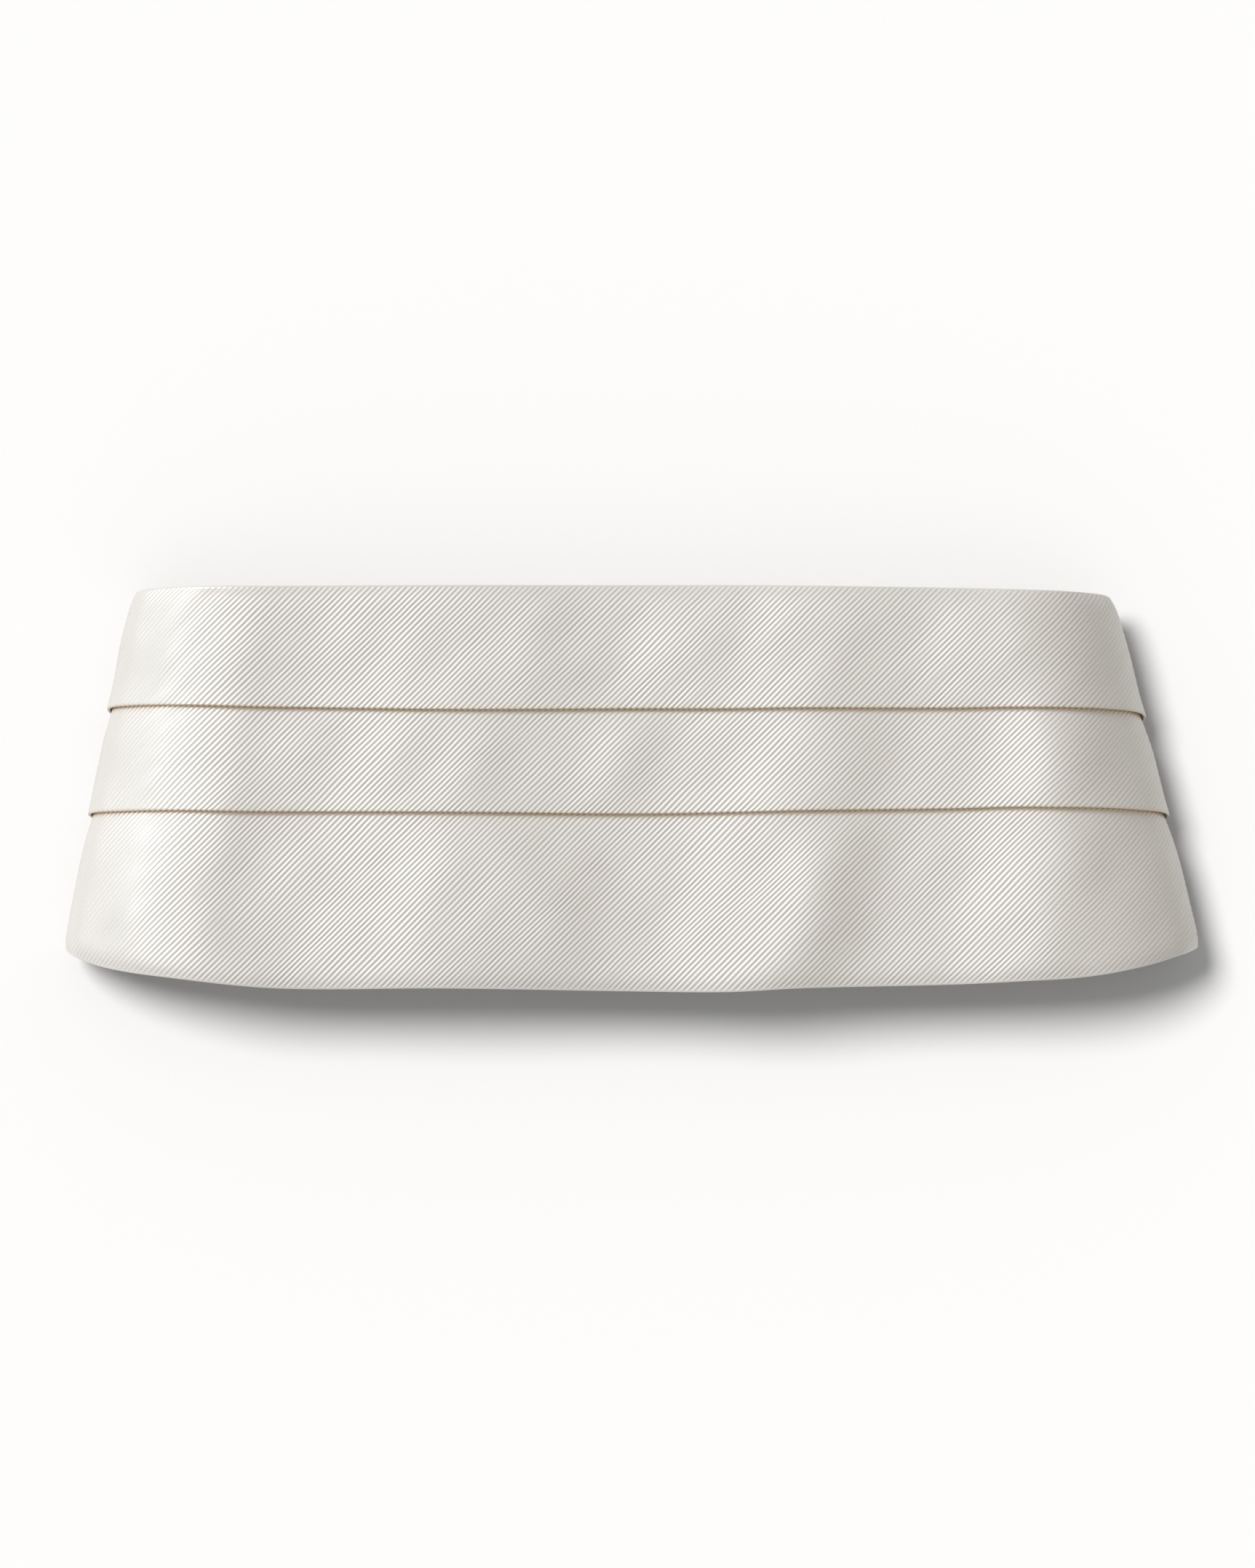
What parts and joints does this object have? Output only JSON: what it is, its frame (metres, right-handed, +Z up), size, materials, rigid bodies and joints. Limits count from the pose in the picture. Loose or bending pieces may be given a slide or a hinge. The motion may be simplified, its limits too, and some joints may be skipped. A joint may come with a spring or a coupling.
{
  "type": "pleated cummerbund",
  "caption": "Pleated silk cummerbund with broad horizontal folds, fastened into a loop by a back strap and lying on its back.",
  "frame": {"origin": "under the middle of the lying loop, on the surface that it rests on", "axes": "+X along the front, to the right as one looks at it, +Y from the bottom edge to the top edge, +Z up out of the front"},
  "size_m": [0.3648, 0.1302, 0.0441],
  "materials": {
    "silk": "ivory silk with raised diagonal ribs, soft sheen",
    "webbing": "ivory woven strap, matt",
    "nickel": "plain satin nickel"
  },
  "bodies": {
    "root": {"upper_pleat": "silk", "middle_pleat": "silk", "lower_panel": "silk", "right_strap": "webbing", "left_strap": "webbing", "clasp": "nickel"}
  },
  "joints": []
}
